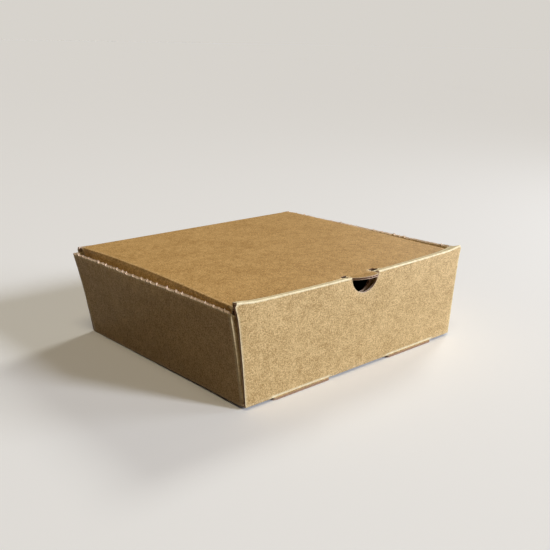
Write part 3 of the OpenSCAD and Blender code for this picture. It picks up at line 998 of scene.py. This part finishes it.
# Scale, detail and weight of each noise in the kraft's tone
KRAFT_NOISE = ((42, 3, 0.14), (240, 2.5, 0.22), (1080, 2, 0.62), (2600, 1.5, 0.40))
GRAIN = 2
FIBRE_TURNS = (0.15, 1.2, 2.3)
FIBRES = (260, 2600, 900)
STREAKS = (900, 900, 5200)
SPECK_TONE = (0.16, 0.085, 0.035, 1)
PAINTED_SHADE_TONE = (0.10, 0.055, 0.03, 1)
GRAIN_DEPTH = 0.15 * MM
FLUTE_DEPTH = 0.08 * MM
DUST_DEPTH = 0.2 * MM


def board_nodes(name):
    """A new material's nodes, with the place on the flat sheet and the wear, painted highlight and painted shade
    there.
    """
    n = Nodes(bpy.data.materials.new(name))
    sheet = n.add("Attribute", attribute_name="sheet").outputs["Vector"]
    return n, sheet, n.add("Attribute", attribute_name="wear_and_painted_light").outputs["Fac"]


def kraft(name, pale, deep, worn_and_highlight):
    """Brown kraft liner with cloudy tone, grain, fibres, dark specks and rubbed creases, some of them painted as
    highlights.
    """
    n, sheet, wear_and_painted_light = board_nodes(name)
    noises = [n.noise(sheet, scale, detail) for scale, detail, _ in KRAFT_NOISE]
    grain = noises[GRAIN]
    fibres = [n.noise(n.stretched(sheet, FIBRES, turn), 1.0, 1.5, 0.55) for turn in FIBRE_TURNS]
    fibre = n.math("MAXIMUM", n.math("MAXIMUM", fibres[0], fibres[1]), fibres[2])
    parts = [n.span(noise, 0.3, 0.7, -weight, weight) for noise, (_, _, weight) in zip(noises, KRAFT_NOISE)]
    parts += [n.span(fibre, 0.52, 0.75, -0.05, 0.14), 0.5]
    tone = parts[0]
    for part in parts[1:]:
        tone = n.math("ADD", tone, part)
    colour = n.mix(n.span(tone, 0, 1), deep, pale)
    cells = n.add("TexVoronoi", {"Vector": sheet, "Scale": 260})
    chance = n.add("SeparateColor", {"Color": cells.outputs["Color"]}).outputs[0]
    speck = n.math("MULTIPLY", n.span(cells.outputs["Distance"], 0.05, 0.15, 1, 0), n.span(chance, 0.86, 0.9))
    colour = n.mix(n.math("MULTIPLY", speck, 0.5), colour, SPECK_TONE)
    # Creases mix towards the pale cream: rubbed fibres, and on the roll, the lip and the corner bands a painted
    # highlight
    rub_and_highlight = n.math("MULTIPLY", wear_and_painted_light, n.span(n.noise(sheet, 420, 3), 0.25, 0.65, 0.40, 0.90))
    colour = n.mix(rub_and_highlight, colour, worn_and_highlight)
    wave_scale = 2 * math.pi / (20 * FLUTE_PITCH * MM)
    washboard = n.add("TexWave", {"Vector": sheet, "Scale": wave_scale}).outputs["Fac"]
    height = n.math("ADD", n.math("MULTIPLY", grain, 0.6), n.math("MULTIPLY", fibre, 0.5))
    fine_bump = n.add("Bump", {"Strength": 0.7, "Distance": GRAIN_DEPTH, "Height": height})
    flutes = {"Strength": 0.25, "Distance": FLUTE_DEPTH, "Height": washboard, "Normal": fine_bump.outputs[0]}
    bump = n.add("Bump", flutes)
    rough = n.span(grain, 0.3, 0.7, 0.46, 0.60)
    return n.paper(colour, rough, bump, specular=0.35)


def cut_edge(name, pale, deep, torn):
    """Cut paper: dusty and streaked through its thickness, paler where it is torn, with painted light on punched and
    slit edges and painted shade on shaded edges.
    """
    n, sheet, wear_and_painted_light = board_nodes(name)
    streaks = n.noise(n.stretched(sheet, STREAKS, 0), 1.0)
    dust = n.noise(sheet, 1500)
    tone = n.math("ADD", n.span(streaks, 0.3, 0.7, -0.3, 0.3), n.span(dust, 0.3, 0.7, -0.2, 0.2))
    colour = n.mix(n.span(n.math("ADD", tone, 0.55), 0, 1), deep, pale)
    # Painted shade: edges of kind shaded are darkened almost to black brown, and tab ends a little
    colour = n.mix(n.span(wear_and_painted_light, 0.05, 0.3, 0.85, 0), colour, PAINTED_SHADE_TONE)
    # Torn edges go pale with fresh fibres, and punched and slit edges go partly pale as painted light
    frayed_and_painted_light = n.span(wear_and_painted_light, 0.4, 1.0)
    colour = n.mix(n.math("MULTIPLY", frayed_and_painted_light, n.span(dust, 0.3, 0.6, 0.7, 1.0)), colour, torn)
    bump = n.add("Bump", {"Strength": 0.5, "Distance": DUST_DEPTH, "Height": dust})
    return n.paper(colour, 0.85, bump, specular=0.25)


def stage_material(seen, lit):
    """A matt floor that looks pale to the camera and throws little light back on the box."""
    n = Nodes(bpy.data.materials.new("floor"))
    path = n.add("LightPath")
    shown = n.math("MAXIMUM", path.outputs["Is Camera Ray"], path.outputs["Is Glossy Ray"])
    colour = n.mix(shown, lit, seen)
    shader = n.add("BsdfPrincipled", {"Base Color": colour, "Roughness": 1.0, "Specular IOR Level": 0.0})
    return n.finish(shader)


# Pieces

# Pale cream of rubbed creases, also used as a painted highlight on the roll, the lip over the lock tabs and the front
# corner bands
WORN_AND_HIGHLIGHT = (0.95, 0.88, 0.62, 1)
# Tray and lid are one board in two colours as painted light: the tray paler and less orange, as the front looks in
# the key light, the lid deeper orange, as under the warm top light
tray_kraft = kraft("kraft_tray", pale=(0.74, 0.545, 0.275, 1), deep=(0.37, 0.235, 0.085, 1), worn_and_highlight=WORN_AND_HIGHLIGHT)
lid_kraft = kraft("kraft_lid", pale=(0.70, 0.45, 0.18, 1), deep=(0.34, 0.18, 0.04, 1), worn_and_highlight=WORN_AND_HIGHLIGHT)
edge_material = cut_edge("cut_edge", (0.68, 0.47, 0.34, 1), (0.30, 0.17, 0.10, 1), torn=(1.0, 0.86, 0.73, 1))

CREASE_END_Y = rear_creases[1].at[1] + rear_creases[1].length + SEAM - HINGE_RUN


def lid_layout(points):
    """Sheet coordinates of the lid, which go on from the rear wall over the crease."""
    return np.column_stack([points[:, 0], CREASE_END_Y + HINGE_Y - SEAM - points[:, 1], -points[:, 2]])


def mirror_crease(crease):
    run = (-crease.run[0], -crease.run[1])
    return Crease(crease.at * (-1, 1), crease.away * (-1, 1), crease.turn, run, crease.radius)


def make_tray():
    outline = both_halves(half_tray(RIGHT_WALL_H), half_tray(LEFT_WALL_H))
    notch = stadium_hole(NOTCH_R, inner_wall_y(NOTCH_Z), front_wall_y(NOTCH_Z))
    sides = [side_crease, front_flap, rear_flap]
    creases = [*front_creases, rear_creases[0], *sides]
    sheet = Sheet([outline, notch, slot_hole(-1), slot_hole(1)], creases + list(map(mirror_crease, sides)), seed=11)
    # Painted highlights: the lip over the lock tabs, the roll's top and a broad band at each front corner flap are
    # mixed towards the pale crease colour. The front flap crease is partly a painted highlight. The other creases are
    # rubbed.
    lip = Crease((0, FLAT_FRONT - 0.25), (0, -1), QUARTER, LOCK_TAB, 0.05)
    corner_highlight_band = Crease(front_flap.at - front_flap.away, front_flap.away, QUARTER, front_flap.run, 1.7)
    roll = Crease((0, ROLL_Y - 0.4 * arc(QUARTER)), (0, -1), QUARTER, (-WIDE, WIDE), (ROLL_Y - ROLL_BACK_Y) / QUARTER)
    worn_and_highlight = [(front_creases[0], 0.15), (lip, 1.0), (roll, 0.95), (front_creases[3], 0.6)]
    worn_and_highlight += [(rear_creases[0], 0.5), (side_crease, 0.3), (front_flap, 0.6), (corner_highlight_band, 0.3), (rear_flap, 0.6)]
    mesh = board_mesh("tray_board", sheet, fold_tray, creases, worn_and_highlight)
    piece = as_piece(mesh, tray_kraft, edge_material)
    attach(piece, "tray")
    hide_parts("tray")


def make_lid():
    half = half_lid()
    beside_tab = Crease(tuck_crease.at, tuck_crease.away, tuck_crease.turn, (TAB_R, LID_X))
    sides = [lid_side_crease, mirror_crease(lid_side_crease)]
    sheet = Sheet([both_halves(half, half), tab_slit()], [tuck_crease, *sides], seed=23)
    worn_and_highlight = [(lid_side_crease, 0.1)]
    mesh = board_mesh("lid_board", sheet, fold_lid, [beside_tab, lid_side_crease], worn_and_highlight, lid_layout)
    piece = as_piece(mesh, lid_kraft, edge_material)
    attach(piece, "lid")
    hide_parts("lid")


def make_rear_crease():
    """The strip of board that bends between the rear wall and the lid."""
    outline = [(-LID_X, SEAM_Y, 0, "seam"), (LID_X, SEAM_Y, 0, "slit"),
               (LID_X, CREASE_END_Y, 0, "seam"), (-LID_X, CREASE_END_Y, 0, "slit")]
    sheet = Sheet([outline], [rear_creases[1]], seed=31)
    mesh = board_mesh("rear_crease", sheet, fold_tray, [], [(rear_creases[1], 0.4)])
    piece = as_piece(mesh, lid_kraft, edge_material)
    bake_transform(piece)


def make_floor():
    size = 60.0
    below = -0.05 * MM
    corners = [(-size, -size, below), (size, -size, below), (size, size, below), (-size, size, below)]
    mesh = bpy.data.meshes.new("floor")
    mesh.from_pydata(corners, [], [(0, 1, 2, 3)])
    floor = as_piece(mesh, stage_material(seen=(0.84, 0.86, 0.90, 1), lit=(0.13, 0.095, 0.06, 1)))


FILL_TINT = (1.0, 0.76, 0.64, 1)
BACKDROP_TINT = (1, 0.959, 0.894, 1)


def make_world(seen, lit):
    """A pale backdrop for the camera, and a weak even fill for the box."""
    world = bpy.data.worlds.new("studio")
    bpy.context.scene.world = world
    n = Nodes(world)
    to_camera = n.add("LightPath").outputs["Is Camera Ray"]
    inputs = {"Color": n.mix(to_camera, FILL_TINT, BACKDROP_TINT), "Strength": n.span(to_camera, 0, 1, lit, seen)}
    n.finish(n.add("Background", inputs), "OutputWorld")


def add_lamp(name, kind, towards, at=(0, 0, 0), **settings):
    data = bpy.data.lights.new(name, kind)
    for setting, value in settings.items():
        setattr(data, setting, value)
    lamp = placed(name, data)
    lamp.location = at
    lamp.rotation_mode = "QUATERNION"
    lamp.rotation_quaternion = Vector(towards).to_track_quat("-Z", "Y")


def add_far_lamp(name, towards, spread, strength, tint):
    """A broad, far lamp, as even over the floor as over the box."""
    add_lamp(name, "SUN", towards, angle=math.radians(spread), energy=strength, color=tint)


def add_softbox(name, at, size, power, tint):
    """A near panel of light, stronger on the side of the box that it stands by."""
    towards = Vector((0, 0, 0.04)) - Vector(at)
    add_lamp(name, "AREA", towards, at, shape="RECTANGLE", size=size[0], size_y=size[1], energy=power, color=tint)


# Camera where the photograph's corners put it: 550 pixels wide with a focal length of 792.5 pixels
CAMERA_AT = Vector((-0.34347, -0.37732, 0.19144))
CAMERA_AIM = Vector((0.02494, 0.02450, 0.03100))
CAMERA_ROLL = math.radians(1.02)
CAMERA_LENS = 51.87


def make_camera():
    data = bpy.data.cameras.new("camera")
    data.lens = CAMERA_LENS
    data.clip_start = 0.01
    camera = placed("camera", data)
    level = (CAMERA_AIM - CAMERA_AT).to_track_quat("-Z", "Y").to_matrix()
    camera.matrix_world = Matrix.Translation(CAMERA_AT) @ (level @ Matrix.Rotation(CAMERA_ROLL, 3, "Z")).to_4x4()
    bpy.context.scene.camera = camera


def make_studio():
    make_camera()
    make_floor()
    make_world(seen=0.679, lit=0.065)
    add_far_lamp("key", towards=(-0.40, 0.80, -0.42), spread=12, strength=2.10, tint=(0.98, 1.0, 1.06))
    add_far_lamp("top", towards=(0.22, 0.25, -0.94), spread=25, strength=0.92, tint=(1.0, 0.86, 0.60))
    add_far_lamp("sheen", towards=(-0.79, -0.29, -0.545), spread=14, strength=1.10, tint=(1.0, 0.98, 0.88))
    add_softbox("side", at=(0.90, -0.68, 0.18), size=(0.4, 0.4), power=8, tint=(0.97, 1.0, 1.05))


make_studio()
make_tray()
make_lid()
make_rear_crease()
bpy.context.scene.view_settings.view_transform = "Standard"
